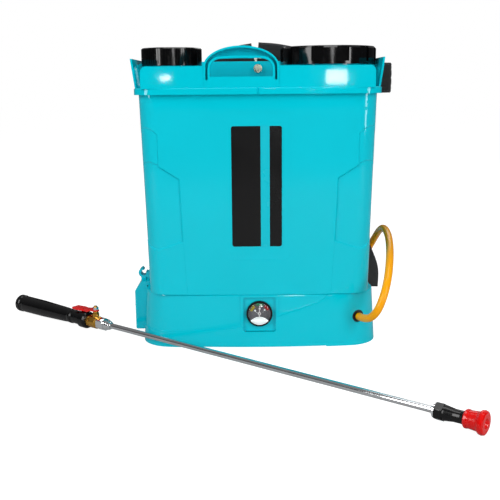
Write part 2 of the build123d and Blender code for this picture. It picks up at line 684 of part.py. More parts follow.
with BuildPart() as lance_grip:
    turn_on_lance([(3, 0), (0, 3), (0, 11), (2.5, grip_rear_r), (9, grip_rear_r), (11, 12.6), (15, 12.4),
                   (18, 13.1), (60, 12.9), (118, 11.2), (128, 10.4), (131, 11.2), (135, 11.2),
                   (138, 10.2), (154, 10.6), (157, collar_r), (168, collar_r), (171, 11.8), (172, 9),
                   (172, 0)])
    fillet(lance_grip.edges().filter_by(GeomType.CIRCLE).filter_by(lambda e: e.radius > 12.2), 0.8)
    turn_on_lance([(-1, 0), (-1, 9), (16, 9), (16, 4), (173, 4), (173, 0)], Mode.SUBTRACT)
    for turn in range(10):
        side = lance_plane(76).rotated((0, 0, turn * 36 + 18))
        with BuildSketch(Plane(side.origin + side.x_dir * 13.6, x_dir=lance_dir, z_dir=side.x_dir)):
            SlotOverall(76, 3.6)
        extrude(amount=-2.2, mode=Mode.SUBTRACT)
save(lance_grip, "lance_grip")

with BuildPart() as grip_inlet:
    turn_on_lance([(1.5, 2.5), (1.5, 6.2), (2, 6.58), (14, 6.58), (14, 9), (16, 9), (16, 4), (177, 4),
                   (177, 2.5)])
save(grip_inlet, "grip_inlet")

with BuildPart() as valve_body:
    turn_on_lance([(172, 0), (172, 9), (175, 9), (177, 7.8), (179, valve_r), (191, valve_r), (194, 8),
                   (tube_s0, 8), (tube_s0, 0)])
    with BuildSketch(lance_plane(173)):
        RegularPolygon(9.6, 6)
    extrude(amount=4)
    turn_on_lance([(171, 0), (171, 4), (190, 4), (190, 3), (201, 3), (201, 0)], Mode.SUBTRACT)
    with Locations(lance_start + lance_dir * stem_s):
        Cylinder(5.2, 14.2, align=(Align.CENTER, Align.CENTER, Align.MIN))
        Sphere(ball_r + 0.2, mode=Mode.SUBTRACT)
        Cylinder(2.5 + fit, 14.3, align=(Align.CENTER, Align.CENTER, Align.MIN), mode=Mode.SUBTRACT)
save(valve_body, "valve_body")

with BuildPart() as valve_ball:
    with Locations(lance_start + lance_dir * stem_s):
        Sphere(ball_r)
    with BuildSketch(lance_plane(stem_s - 20)):
        Circle(3)
    extrude(amount=40, mode=Mode.SUBTRACT)
save(valve_ball, "valve_ball")

with BuildPart() as valve_stem:
    with Locations(lance_start + lance_dir * stem_s + Vector(0, 0, ball_r - 0.6)):
        Cylinder(2.5, 26 - ball_r, align=(Align.CENTER, Align.CENTER, Align.MIN))
    with Locations(lance_start + lance_dir * stem_s + Vector(0, 0, 14.6)):
        Cylinder(4.2, lever_z - 14.6, align=(Align.CENTER, Align.CENTER, Align.MIN))
save(valve_stem, "valve_stem")

# The lever is drawn from the side: (distance along the lance, height above its axis).
paddle_s = 139.0
with BuildPart() as valve_lever:
    with BuildSketch(lance_side.offset(-6)):
        with BuildLine():
            Polyline((192.5, 17.5), (192.5, 19.3), (176, 19.3), (168, 18.6), (paddle_s + 1, 17.6),
                     (paddle_s, 16.8), (paddle_s, 14.6), (paddle_s + 2, 14.1), (171, 14.1), (176, 15.4),
                     (178, 17.5), close=True)
        make_face()
    extrude(amount=12)
    with BuildSketch(Plane(lance_start + Vector(0, 0, 10), x_dir=lance_dir, z_dir=(0, 0, 1))):
        with BuildLine():
            Polyline((paddle_s - 1, -7), (paddle_s + 16, -7), (165, -4.2), (174, -5.5), (stem_s, -5.5),
                     (193, -2), (193, 2), (stem_s, 5.5), (174, 5.5), (165, 4.2), (paddle_s + 16, 7),
                     (paddle_s - 1, 7), close=True)
        make_face()
        fillet(vertices().group_by(Axis.X)[0], 3)
    extrude(amount=20, mode=Mode.INTERSECT)
    with Locations(lance_start + lance_dir * stem_s):
        Cylinder(2.5, 60, mode=Mode.SUBTRACT)
save(valve_lever, "valve_lever")

with BuildPart() as lever_nut:
    with BuildSketch(Plane(lance_start + lance_dir * stem_s + Vector(0, 0, lever_z + 1.8))):
        RegularPolygon(4.6, 6)
        Circle(2.5, mode=Mode.SUBTRACT)
    extrude(amount=4.2)
save(lever_nut, "lever_nut")

with BuildPart() as gland_nut:
    with BuildSketch(lance_plane(195)):
        RegularPolygon(8.6, 6, major_radius=False)
    extrude(amount=14)
    turn_on_lance([(208, 0), (208, 7.6), (214, 7.6), (215, 6.6), (218, 6.6), (219, 5.4), (221, 5.0),
                   (221, 0)])
    turn_on_lance([(194, 0), (194, 8), (tube_s0, 8), (tube_s0, 0)], Mode.SUBTRACT)
    turn_on_lance([(190, 0), (190, lance_tube_r), (222, lance_tube_r), (222, 0)], Mode.SUBTRACT)
save(gland_nut, "gland_nut")

with BuildPart() as lance_tube:
    turn_on_lance([(tube_s0, lance_tube_r - 0.8), (tube_s0, lance_tube_r), (tube_s1 + 8, lance_tube_r),
                   (tube_s1 + 8, lance_tube_r - 0.8)])
save(lance_tube, "lance_tube")

with BuildPart() as nozzle_ring:
    turn_on_lance([(742.5, lance_tube_r), (742.5, 6.2), (744, 8.1), (746.5, 8.1), (746.5, lance_tube_r)])
save(nozzle_ring, "nozzle_ring")

spigot_r = 5.5
with BuildPart() as nozzle_body:
    with BuildSketch(lance_plane(746.5)):
        RegularPolygon(9.0, 6, major_radius=False)
    with BuildSketch(lance_plane(756)):
        RegularPolygon(9.0, 6, major_radius=False)
    loft()
    turn_on_lance([(755, 0), (755, 8.9), (758, 8.7), (768, 7.3), (776, 7.2), (780, 7.7), (780, spigot_r),
                   (795, spigot_r), (795, 0)])
    turn_on_lance([(746, 0), (746, lance_tube_r), (752, lance_tube_r), (752, 2), (796, 2), (796, 0)],
                  Mode.SUBTRACT)
    turn_on_lance([(754, 10), (754, 12), (746, 12), (746, 9.4), (748, 10.4)], Mode.SUBTRACT)
save(nozzle_body, "nozzle_body")

cap_bore = spigot_r + gap
with BuildPart() as nozzle_cap:
    turn_on_lance([(780.3, cap_bore), (780.3, 9.6), (781.5, 10.6), (784, 10.6), (785, 10), (795, 10.9),
                   (798, 13.2), (800.5, lance_axis_z), (803, 13.0), (804, 11), (804, 6), (799, 1.2),
                   (797, 1.2), (797, cap_bore),
                   (794.4, cap_bore), (794.4, 7.4), (792, 7.4), (792, cap_bore)])
    for turn in range(9):
        side = lance_plane(790).rotated((0, 0, turn * 40 + 20))
        with BuildSketch(Plane(side.origin + side.x_dir * 15.6, x_dir=side.y_dir, z_dir=lance_dir)):
            Circle(3.2)
        extrude(amount=20, mode=Mode.SUBTRACT)
save(nozzle_cap, "nozzle_cap")

with BuildPart() as nozzle_seal:
    turn_on_lance([(792.1, spigot_r + fit), (792.1, 7.35), (794.3, 7.35), (794.3, spigot_r + fit)])
save(nozzle_seal, "nozzle_seal")

# ---------------------------------------------------------------- shoulder straps on the tank's back
strap_w = 46.0
strap_t = 5.3
strap_y = 102.5           # face towards the tank of the layer that lies against the cover
fold_y = 108.2            # the same for the layer that comes back past the fold
fold_x = 205.0            # where the right strap begins to fold over
web_w = 38.0
web_t = 2.4
left_web_y = strap_y - 0.1 - web_t
right_web_y = fold_y - 0.1 - web_t
web_x = 179.0             # lower end of the right webbing, beside the base


def band(points, width, y_near, thick):
    """A flat band lying against the tank's back, along a line given as (x, z)."""
    with BuildSketch(Plane((0, y_near + thick, 0), x_dir=(1, 0, 0), z_dir=(0, -1, 0))) as outline:
        with BuildLine():
            Spline(points)
        trace(line_width=width)
    extrude(outline.sketch, amount=thick)


def bolt_hole():
    """The hole through a strap's end for the bolt."""
    with Locations((anchor_x, strap_y, anchor_z)):
        Cylinder(anchor_hole_r, 40, rotation=(90, 0, 0), mode=Mode.SUBTRACT)


top_line = [(1.5, 407), (34, 404), (80, 394), (130, 380), (170, 375), (fold_x, 374.5)]
down_line = [(fold_x, 374.5), (182, 373), (160, 362), (146, 338), (142, 300), (145, 250), (152, 210),
             (155, 178)]
left_line = [(-3.5, 406), (-34, 400), (-64, 384), (-92, 352), (-110, 302), (-121, 240), (-129, 178)]
right_web_line = [(153, 176), (153, 148), (157, 120), (170, 92), (web_x, 66), (web_x, 36)]
left_web_line = [(-129, 176), (-131, 130), (-134, 56)]

with BuildPart() as strap_right:
    band(top_line, strap_w, strap_y, strap_t)
    band(down_line, strap_w, fold_y, strap_t)
    with Locations((fold_x + 2.5, strap_y, 374.5)):
        Box(9, fold_y + strap_t - strap_y, strap_w, align=(Align.CENTER, Align.MIN, Align.CENTER))
    fillet(strap_right.edges().filter_by(Axis.Z).group_by(Axis.X)[-1], 4)
    bolt_hole()
save(strap_right, "strap_right")
with BuildPart() as strap_left:
    band(left_line, strap_w, strap_y, strap_t)
    bolt_hole()
save(strap_left, "strap_left")
for name, line, y in (("webbing_right", right_web_line, right_web_y),
                      ("webbing_left", left_web_line, left_web_y)):
    with BuildPart() as webbing:
        band(line, web_w, y, web_t)
    save(webbing, name)

buckle_h = 24.0
with BuildPart() as strap_buckles:
    for x, y in ((154.5, right_web_y + web_t / 2), (-129.5, left_web_y + web_t / 2)):
        for side in (1, -1):
            with Locations((x, y + side * 3.3, 159)):
                Box(web_w + 10, 3, buckle_h)
            with Locations((x + side * (web_w / 2 + 4.4), y, 159)):
                Box(3, 9.6, buckle_h)
save(strap_buckles, "strap_buckles")

anchor_plate_t = 2.0
anchor_plate_y = strap_y + strap_t + 0.3
nut_face_y = anchor_plate_y + anchor_plate_t
with BuildPart() as anchor_plate:
    with BuildSketch(Plane((anchor_x, nut_face_y, anchor_z), x_dir=(1, 0, 0), z_dir=(0, -1, 0))):
        RectangleRounded(84, 30, 6)
        Circle(anchor_hole_r, mode=Mode.SUBTRACT)
    extrude(amount=anchor_plate_t)
save(anchor_plate, "anchor_plate")

head_y = 91.5
bolt_r = 3.0
anchor_nut_t = 4.5
with BuildPart() as anchor_bolt:
    with Locations(Location((anchor_x, head_y, anchor_z), (-90, 0, 0))):
        Cylinder(6.5, 1.2, align=(Align.CENTER, Align.CENTER, Align.MIN))
        Cylinder(bolt_r, nut_face_y + anchor_nut_t + 3 - head_y,
                 align=(Align.CENTER, Align.CENTER, Align.MIN))
    with BuildSketch(Plane((anchor_x, head_y, anchor_z), x_dir=(1, 0, 0), z_dir=(0, -1, 0))):
        RegularPolygon(5.6, 6)
    extrude(amount=4)
    with BuildSketch(Plane((anchor_x, head_y - 3, anchor_z), x_dir=(1, 0, 0), z_dir=(0, -1, 0))):
        Rectangle(8, 1.2)
        Rectangle(1.2, 8)
    extrude(amount=3, mode=Mode.SUBTRACT)
save(anchor_bolt, "anchor_bolt")

with BuildPart() as anchor_nut:
    with BuildSketch(Plane((anchor_x, nut_face_y, anchor_z), x_dir=(1, 0, 0), z_dir=(0, 1, 0))):
        RegularPolygon(5.6, 6)
        Circle(bolt_r, mode=Mode.SUBTRACT)
    extrude(amount=anchor_nut_t)
save(anchor_nut, "anchor_nut")

anchor_z_low = 60.0
with BuildPart() as lower_anchors:
    for x0, x1, depth in ((118, 176, right_web_y - base_back), (-158, -110, left_web_y - base_back)):
        with Locations(((x0 + x1) / 2, base_back, anchor_z_low)):
            Box(x1 - x0, depth - 0.1, 17, align=(Align.CENTER, Align.MIN, Align.CENTER))
save(lower_anchors, "lower_anchors")

# ---------------------------------------------------------------- hose
coil_x = 60.0
coil_y = 196.0
coil_r = 60.0             # middle of the turns
coil_top = 3 * hose_r     # height of the upper turn's middle
nut_r = 8.0
hose_start = grommet_face + grommet_dir * 7.0
coil_in = Vector(coil_x, coil_y - coil_r, coil_top)
hose_route = [tuple(hose_start), (149, -104, 43), (160, -120, 57), (169, -119, 79), (177, -104, 100),
              (184, -76, 118), (191, -36, 132), (196, 8, 142), (198, 54, 145), (197, 90, 138),
              (191, 118, 115), (179, 134, 84), (164, 141, 56), (143, 142, 33), (117, 139, 20),
              (88, 136, 17), tuple(coil_in)]


def route_radii(route):
    """The largest even arc at each corner of a route: 0.45 of the shorter run over tan(half the turn)."""
    radii = []
    for before, here, after in zip(route, route[1:], route[2:]):
        run_in = Vector(here) - Vector(before)
        run_out = Vector(after) - Vector(here)
        half_turn = radians(run_in.get_angle(run_out)) / 2
        radii.append(0.45 * min(run_in.length, run_out.length) / (sin(half_turn) / cos(half_turn)))
    return radii


hose_radii = route_radii(hose_route)
print("hose arc radii", [round(r) for r in hose_radii])
with BuildPart() as hose:
    with BuildLine() as hose_line:
        FilletPolyline(*hose_route, radius=hose_radii)
    with BuildSketch(Plane(hose_line.line @ 0, z_dir=hose_line.line % 0)):
        Circle(hose_r)
    sweep(path=hose_line.line)
save(hose, "hose")
hose_length = hose_line.wires()[0].length
print("hose length", round(hose_length), "volume ratio",
      hose.part.volume / (pi * hose_r ** 2 * hose_length))

with BuildPart() as hose_coil:
    with Locations((coil_x, coil_y, 0)):
        Cylinder(coil_r + hose_r, 4 * hose_r, align=(Align.CENTER, Align.CENTER, Align.MIN))
        Cylinder(coil_r - hose_r, 60, mode=Mode.SUBTRACT)
save(hose_coil, "hose_coil")

tail_start = Vector(coil_x, coil_y - coil_r, hose_r)
tail_route = [tuple(tail_start), (26, 135.2, hose_r), (-6, 136.2, nut_r)]
with BuildPart() as hose_tail:
    with BuildLine() as tail_line:
        FilletPolyline(*tail_route, radius=route_radii(tail_route))
    with BuildSketch(Plane(tail_line.line @ 0, z_dir=tail_line.line % 0)):
        Circle(hose_r)
    sweep(path=tail_line.line)
save(hose_tail, "hose_tail")

nut_dir = tail_line.line % 1
nut_dir = Vector(nut_dir.X, nut_dir.Y, 0).normalized()
with BuildPart() as hose_nut:
    with BuildSketch(Plane(tail_line.line @ 1, x_dir=(0, 0, 1), z_dir=nut_dir)):
        Circle(nut_r)
    extrude(amount=22)
    with BuildSketch(Plane((tail_line.line @ 1) + nut_dir * 22, x_dir=(0, 0, 1), z_dir=nut_dir)):
        Circle(6.6)
    extrude(amount=-14, mode=Mode.SUBTRACT)
    for turn in range(12):
        side = Plane((tail_line.line @ 1), x_dir=(0, 0, 1), z_dir=nut_dir).rotated((0, 0, turn * 30 + 15))
        groove = side.origin + side.x_dir * (nut_r + 0.6) + nut_dir * 2
        with BuildSketch(Plane(groove, x_dir=(0, 0, 1), z_dir=nut_dir)):
            Circle(1.4)
        extrude(amount=18, mode=Mode.SUBTRACT)
save(hose_nut, "hose_nut")
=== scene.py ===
"""Looks of a battery knapsack sprayer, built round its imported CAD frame.

Metres, in the CAD's own frame: origin under the middle of the base, +X right, +Y back, +Z up.
"""

import json
from math import atan2, cos, hypot, pi, radians, sin, sqrt

import bmesh
import bpy
from mathutils import Matrix, Vector


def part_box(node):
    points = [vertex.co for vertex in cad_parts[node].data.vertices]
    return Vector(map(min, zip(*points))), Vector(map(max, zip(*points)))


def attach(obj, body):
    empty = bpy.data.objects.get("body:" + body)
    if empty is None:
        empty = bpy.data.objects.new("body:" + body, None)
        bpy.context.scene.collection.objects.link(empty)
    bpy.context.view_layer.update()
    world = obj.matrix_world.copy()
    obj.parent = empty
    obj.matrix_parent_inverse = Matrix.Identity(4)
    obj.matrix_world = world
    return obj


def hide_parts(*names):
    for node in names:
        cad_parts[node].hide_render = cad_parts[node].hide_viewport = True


MM = 0.001
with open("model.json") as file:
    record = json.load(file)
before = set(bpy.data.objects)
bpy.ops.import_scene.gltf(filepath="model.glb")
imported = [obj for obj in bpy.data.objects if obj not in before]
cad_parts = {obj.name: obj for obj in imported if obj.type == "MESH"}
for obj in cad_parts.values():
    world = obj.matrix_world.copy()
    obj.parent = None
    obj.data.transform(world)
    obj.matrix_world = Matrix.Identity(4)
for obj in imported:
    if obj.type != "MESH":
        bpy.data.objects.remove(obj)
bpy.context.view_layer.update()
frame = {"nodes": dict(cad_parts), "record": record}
nodes = frame["nodes"]

# ---------------------------------------------------------------- camera
EYE = Vector((-0.0125, -1.175, 0.365))
PITCH = radians(11.65)     # down from the horizon
ROLL = radians(0.5)        # clockwise
LENS_MM = 57.6
SENSOR_MM = 36.0


def make_camera():
    """The camera, at the height and angle from which the front of the sprayer is seen."""
    data = bpy.data.cameras.new("camera")
    data.lens = LENS_MM
    data.sensor_width = SENSOR_MM
    data.clip_start = 0.05
    data.clip_end = 60
    camera = bpy.data.objects.new("camera", data)
    bpy.context.scene.collection.objects.link(camera)
    forward = Vector((0, cos(PITCH), -sin(PITCH)))
    level_up = Vector((0, sin(PITCH), cos(PITCH)))
    right = Vector((1, 0, 0)) * cos(ROLL) - level_up * sin(ROLL)
    up = right.cross(forward)
    turn = Matrix((right, up, -forward)).transposed()
    camera.matrix_world = Matrix.Translation(EYE) @ turn.to_4x4()
    bpy.context.scene.camera = camera


make_camera()

# ---------------------------------------------------------------- hose route
HOSE_R = 5.5 * MM
HOSE_ROUTE = [(141.27, -81.45, 42), (149, -104, 43), (160, -120, 57), (169, -119, 79), (177, -104, 100),
              (184, -76, 118), (191, -36, 132), (196, 8, 142), (198, 54, 145), (197, 90, 138), (191, 118, 115),
              (179, 134, 84), (164, 141, 56), (143, 142, 33), (117, 139, 20), (88, 136, 17)]
HOSE_TAIL = [(26, 135.2, 5.5), (-6, 136.2, 8)]
COIL_CENTRE = Vector((60, 196, 0)) * MM
COIL_R = 60.8 * MM         # of the control points, so that the spline runs at 60 mm
COIL_POINTS = 16           # to a turn
COIL_SHIFT = radians(52)   # half of the arc over which the hose steps in and down


def ease(t):
    """0 to 1 with flat ends."""
    t = min(1.0, max(0.0, t))
    return t * t * (3 - 2 * t)


def coil_points():
    """Two turns, clockwise from above: the second lies under the first, past a step inwards."""
    points = []
    for i in range(2 * COIL_POINTS + 1):
        travel = 2 * pi * i / COIL_POINTS
        from_step = travel - 2 * pi
        step_in = 2.1 * HOSE_R * ease(1 - abs(from_step) / COIL_SHIFT)
        down = 2 * HOSE_R * ease(0.5 + from_step / (2 * COIL_SHIFT))
        angle = 1.5 * pi - travel
        reach = COIL_R - step_in
        height = 3 * HOSE_R - down
        points.append(COIL_CENTRE + Vector((reach * cos(angle), reach * sin(angle), height)))
    return points


def make_hose():
    """The whole hose as one NURBS curve, from the gland on the base to its threaded nut."""
    points = [Vector(p) * MM for p in HOSE_ROUTE] + coil_points() + [Vector(p) * MM for p in HOSE_TAIL]
    data = bpy.data.curves.new("hose_line", "CURVE")
    data.dimensions = "3D"
    data.bevel_depth = 1.0     # times each point's own radius
    data.bevel_resolution = 7
    data.resolution_u = 10
    data.use_fill_caps = True
    spline = data.splines.new("NURBS")
    spline.points.add(len(points) - 1)
    for point, place in zip(spline.points, points):
        point.co = (*place, 1)
        point.radius = HOSE_R
    spline.order_u = 3
    spline.use_endpoint_u = True
    hose = bpy.data.objects.new("hose_tube", data)
    bpy.context.scene.collection.objects.link(hose)
    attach(hose, "sprayer")
    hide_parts("hose", "hose_coil", "hose_tail")
    return hose


hose = make_hose()


# ---------------------------------------------------------------- materials
def colour(code):
    """A linear colour from an sRGB code such as '00b4c3'."""
    parts = [int(code[i:i + 2], 16) / 255 for i in (0, 2, 4)]
    return (*[p / 12.92 if p <= 0.04045 else ((p + 0.055) / 1.055) ** 2.4 for p in parts], 1.0)


def scaled(rgba, share):
    """A colour made lighter or darker."""
    return (*[min(1.0, c * share) for c in rgba[:3]], 1.0)


class Paint:
    """A Principled material whose textures lie in the row frame, in metres."""

    def __init__(self, name, base, **sockets):
        self.material = bpy.data.materials.new(name)
        self.material.use_nodes = True
        self.nodes = self.material.node_tree.nodes
        self.links = self.material.node_tree.links
        self.shader = self.nodes["Principled BSDF"]
        self.place = self.nodes.new("ShaderNodeTexCoord").outputs["Object"]
        self.base = base
        self.shader.inputs["Base Color"].default_value = base
        for socket, value in sockets.items():
            self.shader.inputs[socket.replace("_", " ")].default_value = value

    def noise(self, scale, detail=3.0, place=None, stretch=None, turn=None):
        """The height of a noise with that many features in a metre."""
        texture = self.nodes.new("ShaderNodeTexNoise")
        texture.inputs["Scale"].default_value = scale
        texture.inputs["Detail"].default_value = detail
        source = place or self.place
        if stretch:
            mapping = self.nodes.new("ShaderNodeMapping")
            mapping.inputs["Scale"].default_value = stretch
            mapping.inputs["Rotation"].default_value = turn or (0, 0, 0)
            self.links.new(source, mapping.inputs["Vector"])
            source = mapping.outputs["Vector"]
        self.links.new(source, texture.inputs["Vector"])
        return texture.outputs["Fac"]

    def spread(self, height, low, high):
        """A height in the middle of its range, spread over low to high."""
        node = self.nodes.new("ShaderNodeMapRange")
        node.inputs["From Min"].default_value = 0.3
        node.inputs["From Max"].default_value = 0.7
        node.inputs["To Min"].default_value = low
        node.inputs["To Max"].default_value = high
        self.links.new(height, node.inputs["Value"])
        return node.outputs["Result"]

    def ramp(self, height, stops, constant=False):
        """A colour ramp of (position, colour) stops."""
        node = self.nodes.new("ShaderNodeValToRGB")
        ramp = node.color_ramp
        ramp.interpolation = "CONSTANT" if constant else "LINEAR"
        while len(ramp.elements) < len(stops):
            ramp.elements.new(0.5)
        for element, (position, rgba) in zip(ramp.elements, stops):
            element.position = position
            element.color = rgba
        self.links.new(height, node.inputs["Fac"])
        return node.outputs["Color"]

    def maths(self, operation, first, second=0.0):
        """One Math node; either side may be a socket or a number."""
        node = self.nodes.new("ShaderNodeMath")
        node.operation = operation
        for socket, value in zip(node.inputs, (first, second)):
            if isinstance(value, (int, float)):
                socket.default_value = value
            else:
                self.links.new(value, socket)
        return node.outputs["Value"]

    def vary(self, amount, scale=9.0):
        """Slight differences in the colour, as in a moulding or a dyed cloth."""
        stops = [(0.3, scaled(self.base, 1 - amount)), (0.7, scaled(self.base, 1 + amount))]
        self.links.new(self.ramp(self.noise(scale), stops), self.shader.inputs["Base Color"])
        return self

    def gloss(self, low, high, scale=40.0, stretch=None, turn=None):
        """Roughness that wanders between two values."""
        height = self.noise(scale, 4.0, stretch=stretch, turn=turn)
        self.links.new(self.spread(height, low, high), self.shader.inputs["Roughness"])
        return self

    def bump(self, height, depth):
        """A relief of that depth in metres; a second call lies on the first."""
        node = self.nodes.new("ShaderNodeBump")
        node.inputs["Strength"].default_value = 1.0
        node.inputs["Distance"].default_value = depth
        self.links.new(height, node.inputs["Height"])
        normal = self.shader.inputs["Normal"]
        if normal.is_linked:
            self.links.new(normal.links[0].from_socket, node.inputs["Normal"])
        self.links.new(node.outputs["Normal"], normal)
        return self

    def weave(self, pitch, depth, u_scale=1.0, v_scale=1.0):
        """Threads over and under each other, laid by the piece's own UVs in metres."""
        place = self.nodes.new("ShaderNodeUVMap").outputs["UV"]
        parts = self.nodes.new("ShaderNodeSeparateXYZ")
        self.links.new(place, parts.inputs[0])
        turns = 2 * pi / pitch
        along = self.maths("SINE", self.maths("MULTIPLY", parts.outputs["X"], turns * u_scale))
        across = self.maths("SINE", self.maths("MULTIPLY", parts.outputs["Y"], turns * v_scale))
        self.bump(self.maths("MULTIPLY", along, across), depth)
        return self


def moulded(name, code, low, high, grain=900.0, depth=0.00002, amount=0.03, **sockets):
    """Moulded plastic: slight flow marks in its colour, uneven gloss and a fine skin."""
    paint = Paint(name, colour(code), **sockets)
    paint.vary(amount)
    paint.gloss(low, high)
    paint.bump(paint.noise(grain, 2.0), depth)
    return paint


def metal(name, code, low, high, depth=0.00001, grain=1500.0, stretch=None, turn=None):
    """Bare or plated metal with a fine finish."""
    paint = Paint(name, colour(code), Metallic=1.0)
    paint.vary(0.06, 60.0)
    paint.gloss(low, high, 150.0, stretch, turn)
    paint.bump(paint.noise(grain, 2.0, stretch=stretch, turn=turn), depth)
    return paint


LANCE_TURN = radians(38.5)     # the lance points this far from +X towards the front
teal = moulded("teal_plastic", "00c2d4", 0.03, 0.06, 90.0, 0.000004, 0.025, IOR=1.4)
gloss_black = moulded("black_plastic", "060607", 0.08, 0.15, 160.0, 0.00002, 0.15, IOR=1.42)
matt_black = moulded("black_matte", "040405", 0.16, 0.26, 1400.0, 0.00001, 0.12, IOR=1.38)
rubber = moulded("black_rubber", "161617", 0.5, 0.65, 900.0, 0.00008, 0.12)
red = moulded("red_plastic", "d80806", 0.1, 0.18, 200.0, 0.00001, 0.05, IOR=1.42)
white_plastic = moulded("white_plastic", "f2f4f4", 0.3, 0.4)
# Glowing white: its emission is painted light, brightening the dial's white print under the domed window as if it
# were lit. The painted glints on the dial use it too.
glowing_white = moulded("glowing_white", "f2f4f4", 0.4, 0.5, Emission_Color=(0.9, 1, 1, 1), Emission_Strength=0.45)
battery_case = moulded("battery_case", "2a2c30", 0.35, 0.5)
brass = metal("brass", "c9973f", 0.18, 0.34, 0.00006)
plated = metal("plated_steel", "e6e6e8", 0.03, 0.08, 0.000003)
stainless = metal("stainless", "d6d6d8", 0.05, 0.11, 0.000003, 700.0, (0.02, 1, 1), (0, 0, LANCE_TURN))
zinc = metal("zinc_steel", "b9b6a2", 0.22, 0.36, 0.00002)

hose_paint = moulded("hose_pvc", "ffa800", 0.16, 0.26, 500.0, 0.00001, 0.05, Subsurface_Weight=0.3,
                     Subsurface_Radius=(0.006, 0.0035, 0.001), Subsurface_Scale=1.0, IOR=1.4)
lens_paint = Paint("clear_lens", (1, 1, 1, 1), Roughness=0.02, Transmission_Weight=1.0, IOR=1.49)
lens_paint.gloss(0.005, 0.02, 60.0)

pad_fabric = Paint("strap_fabric", colour("0e0e10"), Roughness=0.85, Sheen_Weight=0.25, Sheen_Roughness=0.5)
pad_fabric.vary(0.3, 400.0)
pad_fabric.weave(1.4 * MM, 0.00025)
binding_tape = Paint("binding_tape", colour("1c1c1f"), Roughness=0.7, Sheen_Weight=0.2)
binding_tape.vary(0.25, 500.0)
binding_tape.weave(1.1 * MM, 0.0002, 1.0, 0.3)
web_fabric = Paint("webbing", colour("131315"), Roughness=0.6, Sheen_Weight=0.15)
web_fabric.vary(0.25, 500.0)
web_fabric.weave(2.2 * MM, 0.0003, 1.0, 0.45)
thread_paint = Paint("thread", colour("3a3a3e"), Roughness=0.6)
thread_paint.vary(0.2, 900.0)
thread_paint.bump(thread_paint.noise(3000.0), 0.00005)


def label_paint():
    """A printed film: two black fields and a teal band between them, under a clear coat."""
    paint = Paint("label_film", colour("050506"), Coat_Weight=0.15, IOR=1.36)
    parts = paint.nodes.new("ShaderNodeSeparateXYZ")
    paint.links.new(paint.place, parts.inputs[0])
    low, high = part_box("front_label")
    across = paint.maths("DIVIDE", paint.maths("SUBTRACT", parts.outputs["X"], low.x), high.x - low.x)
    stripe = [(2.8 * MM - low.x) / (high.x - low.x), (15.1 * MM - low.x) / (high.x - low.x)]
    stops = [(0.0, colour("050506")), (stripe[0], colour("00bccd")), (stripe[1], colour("050506"))]
    paint.links.new(paint.ramp(across, stops, constant=True), paint.shader.inputs["Base Color"])
    paint.gloss(0.2, 0.3, 30.0)
    paint.bump(paint.noise(250.0, 2.0), 0.00003)
    return paint


dial_grey = moulded("dial_card", "6a6970", 0.5, 0.6, 1200.0, 0.00001)

PAINTS = {
    "teal_plastic": teal, "black_plastic": gloss_black, "black_matte": matt_black, "black_rubber": rubber,
    "label_film": label_paint(), "dial_card": dial_grey, "clear_lens": lens_paint, "red_plastic": red,
    "brass": brass, "plated_steel": plated, "stainless": stainless, "zinc_steel": zinc,
    "hose_pvc": hose_paint, "strap_fabric": pad_fabric, "webbing": web_fabric,
    "battery_case": battery_case, "white_plastic": white_plastic,
}
hose.data.materials.append(hose_paint.material)


def paint_cad_nodes():
    """Each CAD node takes the material of its own slot in the record."""
    slots = {part["node"]: part["material_slot"] for part in frame["record"]["subparts"]}
    for name, node in nodes.items():
        node.data.materials.clear()
        node.data.materials.append(PAINTS[slots[name]].material)


def soften(name, width, angle=35):
    """Rounded edges on a moulded CAD node."""
    bevel = nodes[name].modifiers.new("soft_edges", "BEVEL")
    bevel.width = width
    bevel.segments = 2
    bevel.limit_method = "ANGLE"
    bevel.angle_limit = radians(angle)
    bevel.harden_normals = False


paint_cad_nodes()
soften("small_cap", 0.25 * MM)
soften("fill_cap", 0.5 * MM)
soften("tank_top", 0.4 * MM)
soften("tank_body", 0.9 * MM, 20)
soften("base_shell", 0.7 * MM, 20)
soften("lance_grip", 0.3 * MM)


# ---------------------------------------------------------------- mesh helpers
def piece_from(name, vertices, faces, paint, body="sprayer", uvs=None, smooth=True):
    """A mesh piece that rides on a body; uvs holds one (u, v) in metres for each vertex."""
    mesh = bpy.data.meshes.new(name)
    mesh.from_pydata([tuple(v) for v in vertices], [], faces)
    if uvs:
        layer = mesh.uv_layers.new(name="UVMap")
        for loop in mesh.loops:
            layer.data[loop.index].uv = uvs[loop.vertex_index]
    mesh.materials.append(paint.material)
    for polygon in mesh.polygons:
        polygon.use_smooth = smooth
    mesh.validate()
    piece = bpy.data.objects.new(name, mesh)
    bpy.context.scene.collection.objects.link(piece)
    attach(piece, body)
    return piece


def catmull(points, steps):
    """Points on a smooth line through (x, z) points, with its direction at each."""
    pts = [Vector(p) for p in points]
    pts = [2 * pts[0] - pts[1]] + pts + [2 * pts[-1] - pts[-2]]
    line = []
    for a, b, c, d in zip(pts, pts[1:], pts[2:], pts[3:]):
        for i in range(steps):
            t = i / steps
            place = 0.5 * ((2 * b) + (c - a) * t + (2 * a - 5 * b + 4 * c - d) * t * t
                           + (3 * b - a - 3 * c + d) * t ** 3)
            line.append(place)
    line.append(pts[-2])
    turned = []
    for i, place in enumerate(line):
        along = (line[min(i + 1, len(line) - 1)] - line[max(i - 1, 0)]).normalized()
        turned.append((place, along))
    return turned


def evenly(line, step):
    """The same line cut at even steps; gives (distance, place, direction)."""
    cut = []
    travelled = 0.0
    next_cut = 0.0
    for (a, along_a), (b, along_b) in zip(line, line[1:]):
        run = (b - a).length
        while next_cut <= travelled + run and run > 0:
            t = (next_cut - travelled) / run
            cut.append((next_cut, a.lerp(b, t), along_a.lerp(along_b, t).normalized()))
            next_cut += step
        travelled += run
    return cut


